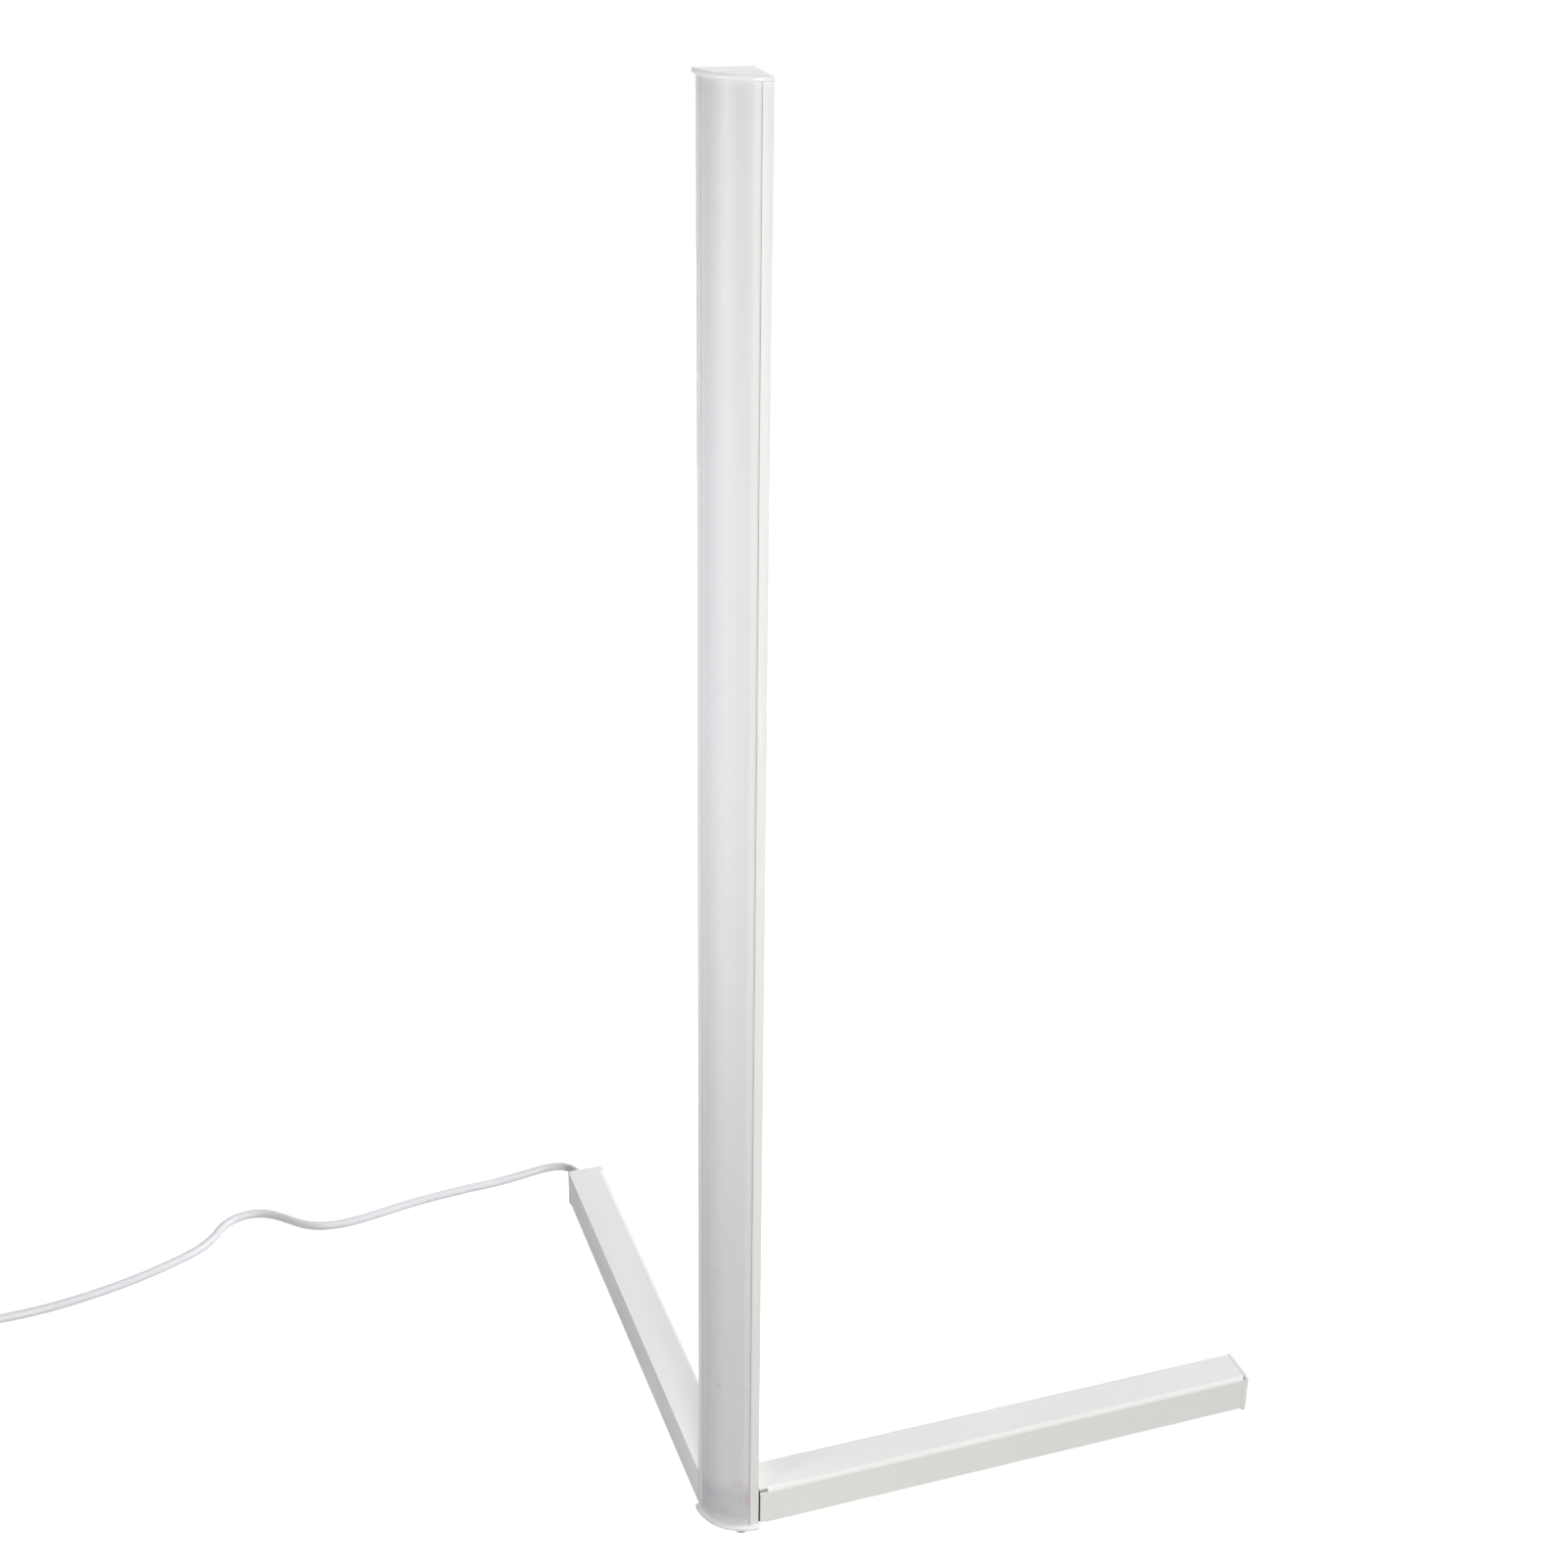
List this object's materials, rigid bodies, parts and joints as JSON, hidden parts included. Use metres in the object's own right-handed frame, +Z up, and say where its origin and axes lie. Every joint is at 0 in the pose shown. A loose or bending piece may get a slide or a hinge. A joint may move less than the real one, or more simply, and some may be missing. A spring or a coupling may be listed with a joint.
{
  "type": "corner floor lamp",
  "caption": "White LED corner floor lamp: quarter-round aluminium column with opal diffuser on two low arms that run along the walls, with mains cord and flat plug",
  "frame": {"origin": "the square back corner of the column, on the floor", "axes": "X along the right arm, Y along the left arm, Z up; the lit quarter-round face looks towards -X and -Y"},
  "size_m": [1.039, 0.5126, 1.04],
  "materials": {
    "white_paint": "satin",
    "white_plastic": "satin",
    "opal": "satin",
    "strip_board": "satin",
    "chip": "gloss",
    "black_plastic": "gloss",
    "gear_plastic": "matte",
    "rubber": "matte",
    "screw_steel": "satin",
    "ballast_steel": "matte",
    "pin_metal": "gloss",
    "dark_sleeve": "satin",
    "cord_white": "satin",
    "wire_black": "satin",
    "wire_red": "satin",
    "wire_green": "satin",
    "wire_blue": "satin"
  },
  "bodies": {
    "root": {"column_profile": "white_paint", "diffuser": "opal", "top_cap": "white_plastic", "bottom_cap": "white_plastic", "column_pad": "rubber", "cap_screws": "screw_steel", "led_strip": "strip_board", "led_chips": "chip", "strip_resistors": "black_plastic", "remote_eye": "black_plastic", "wire_common": "wire_black", "wire_red": "wire_red", "wire_green": "wire_green", "wire_blue": "wire_blue", "eye_lead": "gear_plastic", "right_arm_profile": "white_paint", "right_arm_cover": "white_plastic", "right_arm_spacer": "rubber", "right_arm_end_plate": "white_plastic", "right_joint_block": "ballast_steel", "right_joint_bolts": "screw_steel", "right_ballast": "ballast_steel", "right_feet": "rubber", "right_foot_screws": "screw_steel", "controller": "gear_plastic", "left_arm_profile": "white_paint", "left_arm_cover": "white_plastic", "left_arm_spacer": "rubber", "left_arm_end_plate": "white_plastic", "left_joint_block": "ballast_steel", "left_joint_bolts": "screw_steel", "left_ballast": "ballast_steel", "left_feet": "rubber", "left_foot_screws": "screw_steel", "driver": "gear_plastic", "driver_lead": "dark_sleeve", "inner_mains_lead": "cord_white", "cord_gland": "cord_white", "power_cord": "cord_white", "cord_coil": "cord_white", "cord_tie": "dark_sleeve", "cord_tail": "cord_white", "plug_body": "cord_white", "plug_pins": "pin_metal", "plug_sleeves": "dark_sleeve"}
  },
  "joints": []
}
